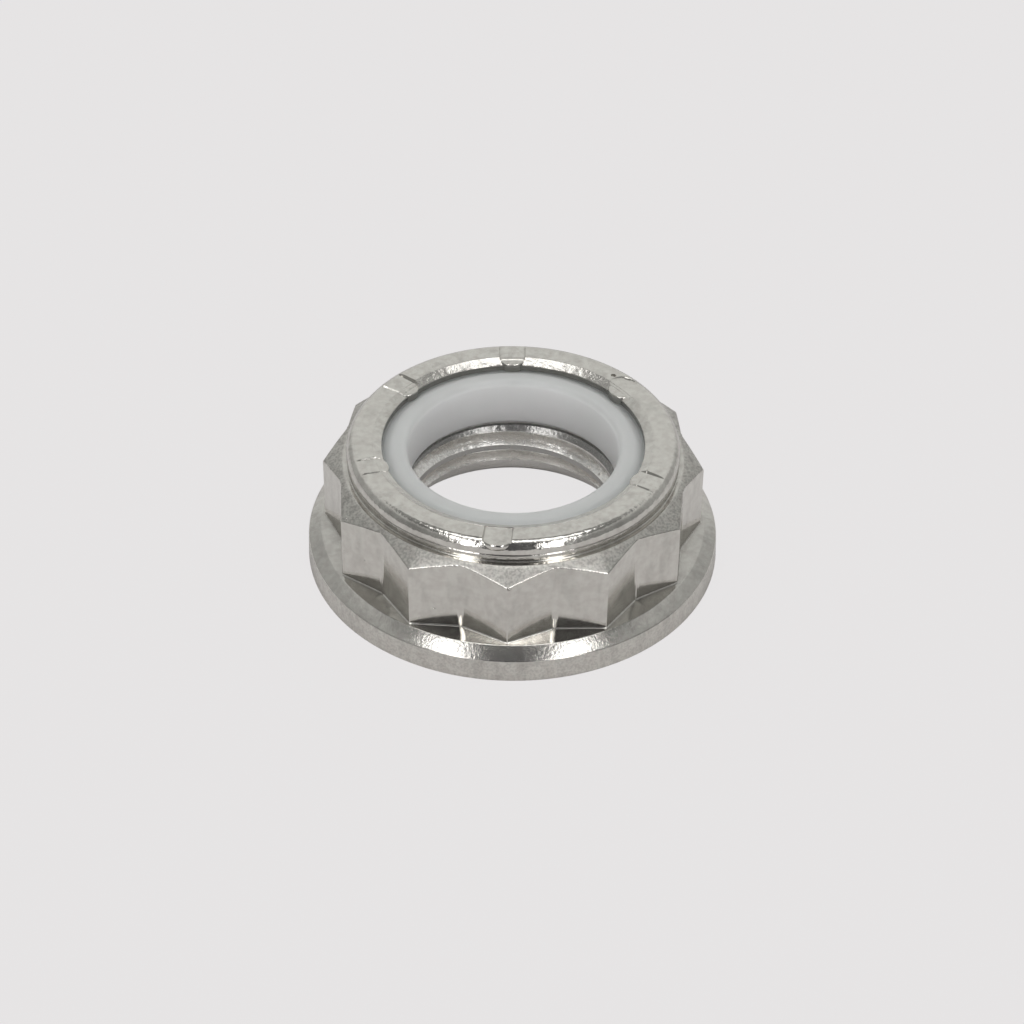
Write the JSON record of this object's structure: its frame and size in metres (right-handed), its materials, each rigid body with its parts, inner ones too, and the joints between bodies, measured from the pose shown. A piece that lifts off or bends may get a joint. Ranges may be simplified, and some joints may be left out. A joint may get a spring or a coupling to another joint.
{
  "type": "twelve point flange lock nut",
  "caption": "Low profile flange nut with a double hexagon drive and a nylon locking ring held under a staked lip.",
  "frame": {"origin": "centre of the thread axis in the bearing face, which is the middle of the bottom of the bounding box", "axes": "+Z along the thread axis from the bearing face towards the lip; one point of the drive is on -Y, the side the picture shows at the front"},
  "size_m": [0.0214, 0.0214, 0.007],
  "materials": {
    "steel": "satin, worn bright on the edges",
    "nylon": "natural nylon, slightly translucent"
  },
  "bodies": {
    "root": {"nut_body": "steel", "locking_ring": "nylon"}
  },
  "joints": []
}
